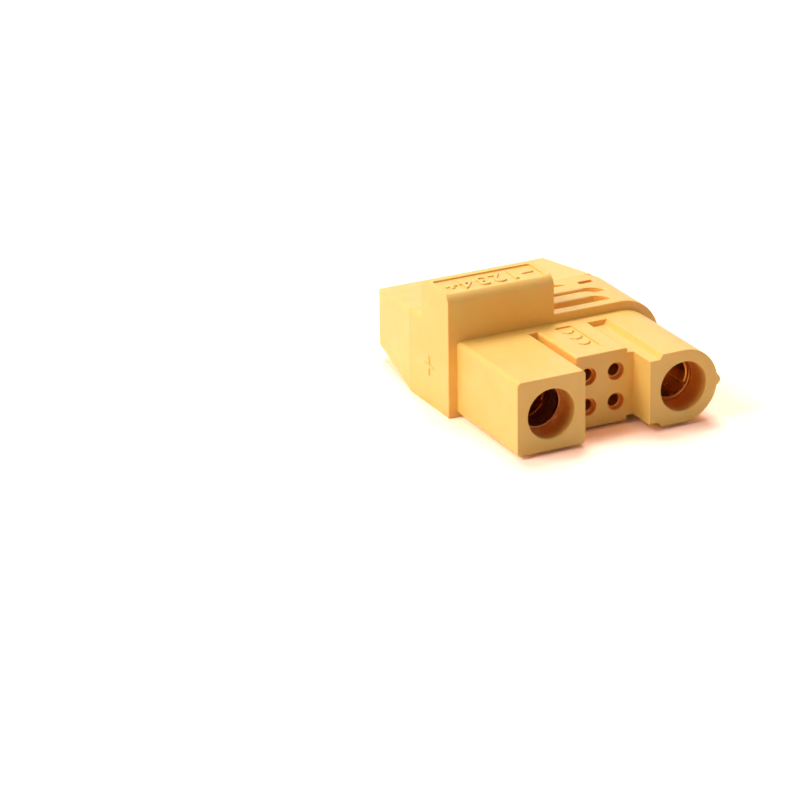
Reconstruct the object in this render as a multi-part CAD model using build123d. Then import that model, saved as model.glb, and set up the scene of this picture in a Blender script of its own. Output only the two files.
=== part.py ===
from build123d import *
import os

# Battery power connector, socket half: two power sockets, four signal sockets, a key rib and a rear cap.
# The mating face looks towards -Y and the wires leave towards +Y. The part rests on its flat underside.
# While it is built, y = 0 is the shoulder face, x = 0 is midway between the power sockets and z = 0 is the
# underside. At the end everything is moved so that the origin is the middle of the bounding box's base.
# All sizes are in millimetres.

# Insert, the block of towers that enters the other half
INSERT_HEIGHT = 11.0
CONTACT_PITCH = 21.2
TOWER_LENGTH = 18.0
BLOCK_LENGTH = 13.35
SQUARE_TOWER_WIDTH = 10.8
ROUND_TOWER_INNER_WALL = 5.55
TOWER_EDGE_ROUND = 0.65
BLOCK_EDGE_ROUND = 0.35
BLOCK_LEFT = 4.15
BLOCK_RIGHT = 4.1
GROOVE_RUN_OUT = 2.1
NARROW_GROOVE_DEPTH = 1.7
WIDE_GROOVE_DEPTH = 0.75
WIDE_GROOVE_FLOOR_END = 6.65
WIDE_GROOVE_TOP_END = 7.15
GATE_NIB_REACH = 0.45
GATE_NIB_HEIGHT = 1.5
GATE_NIB_LENGTH = 0.7
EDGE_SOFTENING = 0.15

# Body behind the shoulder
LIP_BOTTOM = 0.5
LIP_TOP = 1.35
LIP_LEFT = 1.4
BODY_LENGTH = 12.2
BODY_EDGE_ROUND = 0.6
BODY_LOWER_EDGE_ROUND = 0.25
POCKET_WALL = 1.5
POCKET_DEPTH = 5.6

# Key rib on the body
RIB_WIDTH = 17.1
RIB_LENGTH = 8.25
RIB_RISE = 6.0
RIB_ROUND = 1.7

# Bare type plates, recessed in the rib and in the signal block
PLATE_DEPTH = 0.25
RIB_PLATE_LEFT_MARGIN = 0.55
RIB_PLATE_RIGHT_MARGIN = 0.95
RIB_PLATE_FRONT = 0.8
RIB_PLATE_BACK = 5.85
BLOCK_PLATE_WIDTH = 2.75
BLOCK_PLATE_FRONT = 11.2
BLOCK_PLATE_BACK = 1.9
PLATE_CORNER_ROUND = 0.4

# Finger grips and snap windows
GRIP_DEPTH = 1.0
GRIP_CREST_ROUND = 0.35
GRIP_WALL_LEAN = 0.15
FRONT_GRIP_NEAR = 1.6
FRONT_GRIP_FAR = 4.2
FRONT_GRIP_HALF_WIDTH = 9.8
FRONT_GRIP_END = 3.3
MIDDLE_GRIP_TIP = 5.0
MIDDLE_GRIP_NEAR = 6.05
MIDDLE_GRIP_FAR = 7.5
MIDDLE_GRIP_HALF_WIDTH = 10.8
MIDDLE_GRIP_END = 3.4
MIDDLE_GRIP_INNER_HALF_WIDTH = 9.3
MIDDLE_GRIP_INNER_END = 2.2
REAR_GRIP_FROM_SEAM = 1.15
REAR_GRIP_LENGTH = 1.5
REAR_GRIP_HALF_WIDTH = 7.0
REAR_GRIP_END_SLANT = 2.6
WINDOW_CENTRE_X = 10.02
WINDOW_WIDTH = 2.3
WINDOW_LENGTH = 0.95
WINDOW_FROM_SEAM = 2.35
BARB_PROUD = 0.3
BARB_CLEARANCE = 0.1
TONGUE_SLIT = 0.5
TONGUE_SLIT_OVERRUN = 0.5

# Power sockets, turned from brass
MOUTH_RADIUS = 3.7
MOUTH_CHAMFER = 0.12
CONTACT_RECESS = 4.0
CONTACT_RADIUS = 3.5
CONTACT_WALL = 0.35
CONTACT_CLEARANCE = 0.05
CONTACT_BORE_DEPTH = 15.5
RIM_CHAMFER = 0.12
COLLAR_RADIUS = 4.3
COLLAR_THICKNESS = 1.6
CUP_RADIUS = 3.6
CUP_BORE_RADIUS = 3.0
CUP_DEPTH = 7.5
CUP_END = 17.2
CUP_VENT_RADIUS = 0.6

# Spring sleeve, a split and slightly waisted band rolled from thin sheet, inside each power socket
SLEEVE_SHEET = 0.1
SLEEVE_CLEARANCE = 0.03
SLEEVE_WAIST = 0.09
SLEEVE_WAIST_LENGTH = 1.6
SLEEVE_LENGTH = 10.0
SLEEVE_END_BAND = 1.2
SLEEVE_SETBACK = 0.15
SLEEVE_CUTBACK = 0.6
SLEEVE_SPLIT = 0.25
SLEEVE_SPLIT_ANGLE = -30.0

# Anti-spark stage in front of the positive socket
PRECHARGE_RING_LENGTH = 0.6
PRECHARGE_RING_WALL = 0.25
INSULATOR_LENGTH = 2.1
INSULATOR_WALL = 0.2
LEAD_IN_CONE_LENGTH = 0.8
LEAD_IN_CONE_RISE = 0.25
KEYWAY_WIDTH = 1.3
KEYWAY_HEIGHT = 1.35
KEYWAY_ANGLE = -45.0
KEY_CLEARANCE = 0.05
RESISTOR_RADIUS = 0.55
RESISTOR_CAP_LENGTH = 0.45
RESISTOR_CAP_PROUD = 0.04

# Signal sockets
SIGNAL_PITCH_X = 4.45
SIGNAL_PITCH_Z = 4.6
SIGNAL_MOUTH_RADIUS = 1.3
SIGNAL_RECESS = 0.65
SIGNAL_RADIUS = 1.12
SIGNAL_CLEARANCE = 0.03
SIGNAL_BORE_RADIUS = 0.875
SIGNAL_BORE_DEPTH = 8.5
SIGNAL_COLLAR_RADIUS = 1.5
SIGNAL_COLLAR_THICKNESS = 1.2
SIGNAL_TAIL_LENGTH = 3.0
SIGNAL_CUP_RADIUS = 0.75
SIGNAL_CUP_DEPTH = 2.4
CLIP_WALL = 0.16
CLIP_CLEARANCE = 0.02
CLIP_LENGTH = 4.2
CLIP_SETBACK = 3.8
CLIP_SLOT = 0.25
CLIP_SLOT_LENGTH = 3.2

# Rear cap
CAP_LENGTH = 14.1
CAP_STEP = 0.06
CAP_SEAM_BEVEL = 0.14
CAP_CLEARANCE = 0.08
CAP_REAR_DROP = 2.05
CAP_REAR_RISE = 1.9
CAP_REAR_SIDE_TAPER = 2.15
CAP_SEAM_CHAMFER_START = 12.45
CAP_REAR_CHAMFER_START = 12.2
CAP_SEAM_CHAMFER = 3.9
CAP_REAR_CHAMFER = 2.65
CAP_EDGE_ROUND = 0.3
CAP_REAR_BEVEL = 0.14
WIRE_ENTRY_CHAMFER = 0.15
WIRE_ENTRY_RADIUS = 4.1
WIRE_ENTRY_LIFT = 0.2
CUP_DUCT_CLEARANCE = 0.25
CUP_DUCT_OVERRUN = 0.4
KEYHOLE_RADIUS = 2.4
KEYHOLE_SLOT_WIDTH = 1.9
KEYHOLE_SLOT_TOP = 4.1
KEYHOLE_BLEND = 0.8
KEYHOLE_SLOT_ROUND = 0.55
SIGNAL_CHAMBER_MARGIN = 0.35
SIGNAL_CHAMBER_END = 3.0

# Heights and positions that follow from the sizes above
BODY_HEIGHT = LIP_BOTTOM + INSERT_HEIGHT + LIP_TOP
BODY_RADIUS = BODY_HEIGHT / 2
MID_HEIGHT = BODY_HEIGHT / 2
CONTACT_Z = LIP_BOTTOM + INSERT_HEIGHT / 2
INSERT_TOP = LIP_BOTTOM + INSERT_HEIGHT
POSITIVE_X = -CONTACT_PITCH / 2
NEGATIVE_X = CONTACT_PITCH / 2
TOWER_LEFT = POSITIVE_X - SQUARE_TOWER_WIDTH / 2
TOWER_RIGHT = POSITIVE_X + SQUARE_TOWER_WIDTH / 2
BODY_LEFT = TOWER_LEFT - LIP_LEFT
BODY_RIGHT = NEGATIVE_X + BODY_RADIUS
RIB_RIGHT = BODY_LEFT + RIB_WIDTH
RIB_TOP = BODY_HEIGHT + RIB_RISE
POCKET_FLOOR = BODY_LENGTH - POCKET_DEPTH
COLLAR_FRONT = POCKET_FLOOR - COLLAR_THICKNESS
CONTACT_FRONT = CONTACT_RECESS - TOWER_LENGTH
POSITIVE_FRONT = CONTACT_FRONT + PRECHARGE_RING_LENGTH + INSULATOR_LENGTH
CONTACT_BORE_RADIUS = CONTACT_RADIUS - CONTACT_WALL
CONTACT_BORE_END = CONTACT_FRONT + CONTACT_BORE_DEPTH
SEAT_RADIUS = CONTACT_RADIUS + CONTACT_CLEARANCE
KEYWAY_TOP = SEAT_RADIUS + KEYWAY_HEIGHT
SIGNAL_FRONT = SIGNAL_RECESS - BLOCK_LENGTH
SIGNAL_COLLAR_FRONT = POCKET_FLOOR - SIGNAL_COLLAR_THICKNESS
WINDOW_START = BODY_LENGTH - WINDOW_FROM_SEAM - WINDOW_LENGTH
SPIGOT_FRONT = POCKET_FLOOR + CAP_CLEARANCE
SPIGOT_INSET = POCKET_WALL + CAP_CLEARANCE
CAP_END = BODY_LENGTH + CAP_LENGTH
WIRE_ENTRY_Z = CONTACT_Z + WIRE_ENTRY_LIFT
CUP_DUCT_END = CUP_END + CUP_DUCT_OVERRUN
SIGNAL_PLACES = [
    (side * SIGNAL_PITCH_X / 2, CONTACT_Z + level * SIGNAL_PITCH_Z / 2)
    for level in (1, -1)
    for side in (-1, 1)
]
ORIGIN_SHIFT = Location((-(BODY_LEFT + BODY_RIGHT) / 2, (TOWER_LENGTH - CAP_END) / 2, 0))


def along_y(profile, start, end):
    """Carries a profile drawn as (x, z) from y = start to y = end."""
    plane = Plane(origin=(0, end, 0), x_dir=(1, 0, 0), z_dir=(0, -1, 0))
    return extrude(plane * profile, amount=end - start)


def block(x0, x1, y0, y1, z0, z1):
    """A box between two opposite corners."""
    return Pos((x0 + x1) / 2, (y0 + y1) / 2, (z0 + z1) / 2) * Box(x1 - x0, y1 - y0, z1 - z0)


def softened(solid, direction=Axis.Y, end=0):
    """Rounds the outline of the end face that lies first (0) or last (-1) in a direction."""
    return fillet(solid.faces().sort_by(direction)[end].edges(), EDGE_SOFTENING)


def rectangle(x0, x1, z0, z1):
    """A flat rectangle between two opposite corners."""
    return Pos((x0 + x1) / 2, (z0 + z1) / 2) * Rectangle(x1 - x0, z1 - z0)


def turned(points):
    """A piece turned about the Y axis from (radius, y) points."""
    return revolve(make_face(Polyline(*points, close=True)), Axis.Y)


def both_faces(tool):
    """A tool for the top face together with its mirror image for the underside."""
    return tool + mirror(tool, Plane.XY.offset(MID_HEIGHT))


def both_sides(tool):
    """A tool together with its mirror image across x = 0."""
    return tool + mirror(tool, Plane.YZ)


def body_profile(inset):
    """The body's outline: a flat left side and a half-round right side, drawn in by inset."""
    radius = BODY_RADIUS - inset
    left = rectangle(BODY_LEFT + inset, NEGATIVE_X, MID_HEIGHT - radius, MID_HEIGHT + radius)
    left_corners = left.vertices().group_by(Axis.X)[0].sort_by(Axis.Y)
    left = fillet(left_corners[-1], max(BODY_EDGE_ROUND - inset, BODY_EDGE_ROUND / 4))
    left_corners = left.vertices().group_by(Axis.X)[0].sort_by(Axis.Y)
    left = fillet(left_corners[0], max(BODY_LOWER_EDGE_ROUND - inset, BODY_LOWER_EDGE_ROUND / 2))
    return left + Pos(NEGATIVE_X, MID_HEIGHT) * Circle(radius)


def round_tower_profile():
    """The tower with a half-round outer side, with the wide groove's wall on its inner side."""
    radius = INSERT_HEIGHT / 2
    inner = NEGATIVE_X - ROUND_TOWER_INNER_WALL
    low = CONTACT_Z - radius
    high = CONTACT_Z + radius
    outline = Polyline(
        (inner, low + WIDE_GROOVE_DEPTH),
        (WIDE_GROOVE_FLOOR_END, low + WIDE_GROOVE_DEPTH),
        (WIDE_GROOVE_TOP_END, low),
        (NEGATIVE_X, low),
        (NEGATIVE_X, high),
        (WIDE_GROOVE_TOP_END, high),
        (WIDE_GROOVE_FLOOR_END, high - WIDE_GROOVE_DEPTH),
        (inner, high - WIDE_GROOVE_DEPTH),
        close=True,
    )
    return make_face(outline) + Pos(NEGATIVE_X, CONTACT_Z) * Circle(radius)


def signal_block():
    """The block between the towers, with a narrow groove on its left and a wide one on its right."""
    core = rectangle(-BLOCK_LEFT, BLOCK_RIGHT, LIP_BOTTOM, INSERT_TOP)
    core = softened(along_y(fillet(core.vertices(), BLOCK_EDGE_ROUND), -BLOCK_LENGTH, 0))
    web_left = rectangle(
        TOWER_RIGHT - TOWER_EDGE_ROUND, 0, LIP_BOTTOM + NARROW_GROOVE_DEPTH, INSERT_TOP - NARROW_GROOVE_DEPTH
    )
    web_right = rectangle(
        0, NEGATIVE_X - ROUND_TOWER_INNER_WALL, LIP_BOTTOM + WIDE_GROOVE_DEPTH, INSERT_TOP - WIDE_GROOVE_DEPTH
    )
    return core + along_y(web_left + web_right, -BLOCK_LENGTH, 0)


def gate_nib():
    """The stub that the moulding gate leaves on the round tower's outer side, at its front face."""
    side = NEGATIVE_X + INSERT_HEIGHT / 2
    outline = Polyline(
        (side - GATE_NIB_REACH, CONTACT_Z - GATE_NIB_HEIGHT / 2),
        (side, CONTACT_Z - GATE_NIB_HEIGHT / 2),
        (side + GATE_NIB_REACH, CONTACT_Z - GATE_NIB_HEIGHT / 6),
        (side + GATE_NIB_REACH, CONTACT_Z + GATE_NIB_HEIGHT / 6),
        (side - GATE_NIB_REACH, CONTACT_Z + GATE_NIB_HEIGHT),
        close=True,
    )
    return along_y(make_face(outline), -TOWER_LENGTH, GATE_NIB_LENGTH - TOWER_LENGTH)


def insert_block():
    """Both towers, the signal block and the slab that joins them at the shoulder."""
    tower = Pos(POSITIVE_X, CONTACT_Z) * RectangleRounded(SQUARE_TOWER_WIDTH, INSERT_HEIGHT, TOWER_EDGE_ROUND)
    solid = softened(along_y(tower, -TOWER_LENGTH, 0))
    solid += softened(along_y(round_tower_profile(), -TOWER_LENGTH, 0))
    solid += signal_block()
    slab = rectangle(POSITIVE_X, NEGATIVE_X, LIP_BOTTOM, INSERT_TOP)
    solid += along_y(slab, -GROOVE_RUN_OUT, 0)
    return solid + gate_nib()


def key_rib():
    """The tall rib on the left of the body that stops the halves being joined upside down."""
    foot = BODY_HEIGHT - GRIP_DEPTH - POCKET_WALL / 5
    face = Pos(RIB_LENGTH / 2, (foot + RIB_TOP) / 2) * Rectangle(RIB_LENGTH, RIB_TOP - foot)
    face = fillet(face.vertices().group_by(Axis.Y)[-1], RIB_ROUND)
    plane = Plane(origin=(BODY_LEFT, 0, 0), x_dir=(0, 1, 0), z_dir=(1, 0, 0))
    rib = extrude(plane * face, amount=RIB_WIDTH)
    return softened(softened(rib, Axis.X, 0), Axis.X, -1)


def ramp(near, far):
    """A groove that is GRIP_DEPTH deep, whose far wall leans a little and rounds over to the top face at far."""
    low = BODY_HEIGHT - GRIP_DEPTH
    crest = BODY_HEIGHT - GRIP_CREST_ROUND
    wall = far - GRIP_CREST_ROUND
    diagonal = GRIP_CREST_ROUND * 0.5 ** 0.5
    outline = Polyline(
        (far, BODY_HEIGHT),
        (far, BODY_HEIGHT + 1),
        (near, BODY_HEIGHT + 1),
        (near, low),
        (wall - GRIP_WALL_LEAN, low),
        (wall, crest),
    )
    rounded = ThreePointArc((wall, crest), (far - diagonal, crest + diagonal), (far, BODY_HEIGHT))
    plane = Plane(origin=(BODY_LEFT, 0, 0), x_dir=(0, 1, 0), z_dir=(1, 0, 0))
    return extrude(plane * make_face(outline + rounded), amount=BODY_RIGHT - BODY_LEFT)


def grip_area(half_width, near, far, end):
    """A column over a grip, whose far corners curve in over a length of end."""
    area = rectangle(end - half_width, half_width - end, near, far)
    for side in (-1, 1):
        area += Pos(side * (half_width - end), near) * Ellipse(end, far - near)
    return extrude(area, amount=BODY_HEIGHT + 2)


def front_grip():
    """The grip nearest the shoulder."""
    area = grip_area(FRONT_GRIP_HALF_WIDTH, FRONT_GRIP_NEAR, FRONT_GRIP_FAR, FRONT_GRIP_END)
    return ramp(FRONT_GRIP_NEAR, FRONT_GRIP_FAR) & area


def middle_grip():
    """The bracket-shaped grip, whose ends turn down beside the front grip."""
    outer = grip_area(MIDDLE_GRIP_HALF_WIDTH, MIDDLE_GRIP_TIP, MIDDLE_GRIP_FAR, MIDDLE_GRIP_END)
    inner = grip_area(
        MIDDLE_GRIP_INNER_HALF_WIDTH, MIDDLE_GRIP_TIP - 1, MIDDLE_GRIP_NEAR, MIDDLE_GRIP_INNER_END
    )
    return ramp(MIDDLE_GRIP_TIP, MIDDLE_GRIP_FAR) & (outer - inner)


def rear_grip():
    """The short grip nearest the seam, with slanting ends."""
    far = BODY_LENGTH - REAR_GRIP_FROM_SEAM
    near = far - REAR_GRIP_LENGTH
    area = Polyline(
        (-REAR_GRIP_HALF_WIDTH, near),
        (REAR_GRIP_HALF_WIDTH, near),
        (REAR_GRIP_HALF_WIDTH - REAR_GRIP_END_SLANT, far),
        (REAR_GRIP_END_SLANT - REAR_GRIP_HALF_WIDTH, far),
        close=True,
    )
    return ramp(near, far) & extrude(make_face(area), amount=BODY_HEIGHT + 2)


def snap_window():
    """The slot that a barb shows through, with the relief that lets the barb slide to it from the rear."""
    half = WINDOW_WIDTH / 2
    low = BODY_HEIGHT - POCKET_WALL
    window = block(
        WINDOW_CENTRE_X - half, WINDOW_CENTRE_X + half,
        WINDOW_START, WINDOW_START + WINDOW_LENGTH,
        low - POCKET_WALL, BODY_HEIGHT + 1,
    )
    relief = block(
        WINDOW_CENTRE_X - half, WINDOW_CENTRE_X + half,
        WINDOW_START, BODY_LENGTH + 1,
        low - POCKET_WALL, low + BARB_PROUD + BARB_CLEARANCE,
    )
    return window + relief


def power_seat(x):
    """The mouth, contact seat and collar seat of one power socket."""
    collar = COLLAR_RADIUS + CONTACT_CLEARANCE
    profile = turned([
        (0, -TOWER_LENGTH - MOUTH_CHAMFER),
        (MOUTH_RADIUS + 2 * MOUTH_CHAMFER, -TOWER_LENGTH - MOUTH_CHAMFER),
        (MOUTH_RADIUS, MOUTH_CHAMFER - TOWER_LENGTH),
        (MOUTH_RADIUS, CONTACT_FRONT),
        (SEAT_RADIUS, CONTACT_FRONT),
        (SEAT_RADIUS, COLLAR_FRONT),
        (collar, COLLAR_FRONT),
        (collar, POCKET_FLOOR + 1),
        (0, POCKET_FLOOR + 1),
    ])
    return Pos(x, 0, CONTACT_Z) * profile


def keyway():
    """The slot beside the positive seat that holds the resistor and the tabs on either side of it."""
    slot = block(
        0, KEYWAY_TOP, CONTACT_FRONT, COLLAR_FRONT, -KEYWAY_WIDTH / 2, KEYWAY_WIDTH / 2
    )
    return Pos(POSITIVE_X, 0, CONTACT_Z) * Rot(0, -KEYWAY_ANGLE, 0) * slot


def signal_seat(x, z):
    """The mouth, seat and collar seat of one signal socket."""
    seat = SIGNAL_RADIUS + SIGNAL_CLEARANCE
    collar = SIGNAL_COLLAR_RADIUS + SIGNAL_CLEARANCE
    profile = turned([
        (0, -BLOCK_LENGTH - 1),
        (SIGNAL_MOUTH_RADIUS, -BLOCK_LENGTH - 1),
        (SIGNAL_MOUTH_RADIUS, SIGNAL_FRONT),
        (seat, SIGNAL_FRONT),
        (seat, SIGNAL_COLLAR_FRONT),
        (collar, SIGNAL_COLLAR_FRONT),
        (collar, POCKET_FLOOR + 1),
        (0, POCKET_FLOOR + 1),
    ])
    return Pos(x, 0, z) * profile


def plate_recess(x0, x1, y0, y1, top):
    """A shallow recess with rounded corners, left bare, in a face at height top."""
    plan = Pos((x0 + x1) / 2, (y0 + y1) / 2, top - PLATE_DEPTH) * RectangleRounded(
        x1 - x0, y1 - y0, PLATE_CORNER_ROUND
    )
    return extrude(plan, amount=PLATE_DEPTH + 1)


def type_plates():
    """The plate recesses on the rib and on the signal block."""
    rib_left = BODY_LEFT + RIB_PLATE_LEFT_MARGIN
    rib_right = RIB_RIGHT - RIB_PLATE_RIGHT_MARGIN
    half = BLOCK_PLATE_WIDTH / 2
    return [
        plate_recess(rib_left, rib_right, RIB_PLATE_FRONT, RIB_PLATE_BACK, RIB_TOP),
        plate_recess(-half, half, -BLOCK_PLATE_FRONT, -BLOCK_PLATE_BACK, INSERT_TOP),
    ]


def front_housing():
    """The main moulding: insert, body, key rib, grips, contact seats and rear pocket."""
    solid = softened(along_y(body_profile(0), 0, BODY_LENGTH))
    for grip in (front_grip(), middle_grip(), rear_grip()):
        solid -= both_faces(grip)
    solid += key_rib()
    solid += insert_block()
    solid -= along_y(body_profile(POCKET_WALL), POCKET_FLOOR, BODY_LENGTH + 1)
    solid -= both_faces(both_sides(snap_window()))
    for x in (POSITIVE_X, NEGATIVE_X):
        solid -= power_seat(x)
    solid -= keyway()
    for x, z in SIGNAL_PLACES:
        solid -= signal_seat(x, z)
    for recess in type_plates():
        solid -= recess
    return solid


def cap_polygon(left, start, chamfer, low, high):
    """The cap's six-sided outline, chamfered above and below on its right from x = start."""
    right = start + chamfer
    return make_face(Polyline(
        (left, low),
        (start, low),
        (right, low + chamfer),
        (right, high - chamfer),
        (start, high),
        (left, high),
        close=True,
    ))


def cap_shell():
    """The cap's outer form, tapering from the seam to its rear face."""
    seam = cap_polygon(
        BODY_LEFT + CAP_STEP, CAP_SEAM_CHAMFER_START, CAP_SEAM_CHAMFER, CAP_STEP, BODY_HEIGHT - CAP_STEP
    )
    rear = cap_polygon(
        BODY_LEFT + CAP_REAR_SIDE_TAPER, CAP_REAR_CHAMFER_START, CAP_REAR_CHAMFER,
        CAP_REAR_RISE, BODY_HEIGHT - CAP_REAR_DROP,
    )
    front_plane = Plane(origin=(0, BODY_LENGTH, 0), x_dir=(1, 0, 0), z_dir=(0, -1, 0))
    rear_plane = Plane(origin=(0, CAP_END, 0), x_dir=(1, 0, 0), z_dir=(0, -1, 0))
    solid = loft([front_plane * seam, rear_plane * rear], ruled=True)
    ends = solid.faces().filter_by(Axis.Y)
    end_edges = ends[0].edges() + ends[-1].edges()
    long_edges = [edge for edge in solid.edges() if edge not in end_edges]
    solid = fillet(long_edges, CAP_EDGE_ROUND)
    solid = chamfer(solid.faces().sort_by(Axis.Y)[0].edges(), CAP_SEAM_BEVEL)
    return chamfer(solid.faces().sort_by(Axis.Y)[-1].edges(), CAP_REAR_BEVEL)


def wire_entry(x):
    """A duct for one power wire: close around the solder cup, then wider, with a chamfered mouth."""
    cup_duct = turned([
        (0, SPIGOT_FRONT - 1),
        (CUP_RADIUS + CUP_DUCT_CLEARANCE, SPIGOT_FRONT - 1),
        (CUP_RADIUS + CUP_DUCT_CLEARANCE, CUP_DUCT_END),
        (0, CUP_DUCT_END),
    ])
    entry = turned([
        (0, CUP_DUCT_END),
        (WIRE_ENTRY_RADIUS, CUP_DUCT_END),
        (WIRE_ENTRY_RADIUS, CAP_END - WIRE_ENTRY_CHAMFER),
        (WIRE_ENTRY_RADIUS + 2 * WIRE_ENTRY_CHAMFER, CAP_END + WIRE_ENTRY_CHAMFER),
        (0, CAP_END + WIRE_ENTRY_CHAMFER),
    ])
    return Pos(x, 0, CONTACT_Z) * cup_duct + Pos(x, 0, WIRE_ENTRY_Z) * entry


def keyhole_profile():
    """The keyhole for the signal wires: a circle with a slot above it."""
    slot = rectangle(-KEYHOLE_SLOT_WIDTH / 2, KEYHOLE_SLOT_WIDTH / 2, 0, KEYHOLE_SLOT_TOP)
    profile = Circle(KEYHOLE_RADIUS) + slot
    by_height = profile.vertices().sort_by(Axis.Y)
    profile = fillet(by_height[-2:], KEYHOLE_SLOT_ROUND)
    corners = [v for v in profile.vertices() if 0.1 < v.Y < KEYHOLE_RADIUS and abs(v.X) < KEYHOLE_SLOT_WIDTH]
    return Pos(0, WIRE_ENTRY_Z) * fillet(corners, KEYHOLE_BLEND)


def barb():
    """The snap barb on the spigot, with its lead towards the front, and the slits beside its tongue."""
    top = BODY_HEIGHT - SPIGOT_INSET
    half = WINDOW_WIDTH / 2 - BARB_CLEARANCE
    start = WINDOW_START + BARB_CLEARANCE
    end = WINDOW_START + WINDOW_LENGTH - BARB_CLEARANCE
    outline = Polyline(
        (start, top - BARB_PROUD), (end, top - BARB_PROUD), (end, top + BARB_PROUD), (start, top), close=True
    )
    plane = Plane(origin=(WINDOW_CENTRE_X - half, 0, 0), x_dir=(0, 1, 0), z_dir=(1, 0, 0))
    return extrude(plane * make_face(outline), amount=2 * half)


def tongue_slits():
    """The two slits that let a barb's tongue bend."""
    half = WINDOW_WIDTH / 2
    end = WINDOW_START + WINDOW_LENGTH + TONGUE_SLIT_OVERRUN
    low = WIRE_ENTRY_Z + WIRE_ENTRY_RADIUS / 2
    cuts = [
        block(edge, edge + TONGUE_SLIT, SPIGOT_FRONT - 1, end, low, BODY_HEIGHT)
        for edge in (WINDOW_CENTRE_X - half - TONGUE_SLIT, WINDOW_CENTRE_X + half)
    ]
    return cuts[0] + cuts[1]


def rear_cap():
    """The cap that closes the rear pocket and guides the wires out."""
    solid = along_y(body_profile(SPIGOT_INSET), SPIGOT_FRONT, BODY_LENGTH + POCKET_WALL)
    solid += cap_shell()
    for x in (POSITIVE_X, NEGATIVE_X):
        solid -= wire_entry(x)
    solid -= along_y(keyhole_profile(), SPIGOT_FRONT - 1, CAP_END + 1)
    reach_x = SIGNAL_PITCH_X / 2 + SIGNAL_COLLAR_RADIUS + SIGNAL_CHAMBER_MARGIN
    reach_z = SIGNAL_PITCH_Z / 2 + SIGNAL_COLLAR_RADIUS + SIGNAL_CHAMBER_MARGIN
    solid -= block(
        -reach_x, reach_x,
        SPIGOT_FRONT - 1, BODY_LENGTH + SIGNAL_CHAMBER_END,
        CONTACT_Z - reach_z, CONTACT_Z + reach_z,
    )
    solid -= both_faces(both_sides(tongue_slits()))
    return solid + both_faces(both_sides(barb()))


def power_socket(front, mouth_radius, mouth_length):
    """A turned power socket: barrel with a coned mouth in front, collar, and solder cup behind."""
    solid = turned([
        (0, CONTACT_BORE_END),
        (CONTACT_BORE_RADIUS, CONTACT_BORE_END),
        (CONTACT_BORE_RADIUS, front + mouth_length),
        (mouth_radius, front),
        (CONTACT_RADIUS, front),
        (CONTACT_RADIUS, COLLAR_FRONT),
        (COLLAR_RADIUS, COLLAR_FRONT),
        (COLLAR_RADIUS, POCKET_FLOOR),
        (CUP_RADIUS, POCKET_FLOOR),
        (CUP_RADIUS, CUP_END - RIM_CHAMFER),
        (CUP_RADIUS - RIM_CHAMFER, CUP_END),
        (CUP_BORE_RADIUS + RIM_CHAMFER, CUP_END),
        (CUP_BORE_RADIUS, CUP_END - RIM_CHAMFER),
        (CUP_BORE_RADIUS, CUP_END - CUP_DEPTH),
        (0, CUP_END - CUP_DEPTH - CUP_BORE_RADIUS / 3),
    ])
    vent = extrude(Circle(CUP_VENT_RADIUS), amount=CUP_RADIUS + 1)
    return solid - Pos(0, CUP_END - CUP_DEPTH + CUP_VENT_RADIUS, 0) * vent


def tab(front, back):
    """A contact tab that reaches up the keyway from a ring, between two values of y."""
    half = KEYWAY_WIDTH / 2 - KEY_CLEARANCE
    root = CONTACT_RADIUS - CONTACT_WALL / 2
    bar = block(root, KEYWAY_TOP - KEY_CLEARANCE, front, back, -half, half)
    return Rot(0, -KEYWAY_ANGLE, 0) * bar


def at_positive(solid):
    """Moves a piece turned about the Y axis onto the positive socket's axis."""
    return Pos(POSITIVE_X, 0, CONTACT_Z) * solid


def at_negative(solid):
    """Moves a piece turned about the Y axis onto the negative socket's axis."""
    return Pos(NEGATIVE_X, 0, CONTACT_Z) * solid


def positive_socket():
    """The positive socket, which starts behind the anti-spark stage and carries the rear tab."""
    mouth_radius = CONTACT_BORE_RADIUS + LEAD_IN_CONE_RISE
    solid = power_socket(POSITIVE_FRONT, mouth_radius, LEAD_IN_CONE_LENGTH)
    return at_positive(solid + tab(POSITIVE_FRONT, POSITIVE_FRONT + PRECHARGE_RING_LENGTH))


def negative_socket():
    """The negative socket, whose rim is the first thing that its pin meets."""
    mouth_radius = CONTACT_BORE_RADIUS + RIM_CHAMFER
    return at_negative(power_socket(CONTACT_FRONT, mouth_radius, RIM_CHAMFER))


def ring(wall, start, end):
    """A plain ring with the sockets' outer radius."""
    return turned([
        (CONTACT_RADIUS - wall, start), (CONTACT_RADIUS, start), (CONTACT_RADIUS, end), (CONTACT_RADIUS - wall, end)
    ])


def precharge_ring():
    """The thin ring that the pin meets first, with the front tab."""
    end = CONTACT_FRONT + PRECHARGE_RING_LENGTH
    return at_positive(ring(PRECHARGE_RING_WALL, CONTACT_FRONT, end) + tab(CONTACT_FRONT, end))


def insulator_sleeve():
    """The sleeve that parts the pre-charge ring from the socket behind it."""
    return at_positive(ring(INSULATOR_WALL, CONTACT_FRONT + PRECHARGE_RING_LENGTH, POSITIVE_FRONT))


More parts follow.
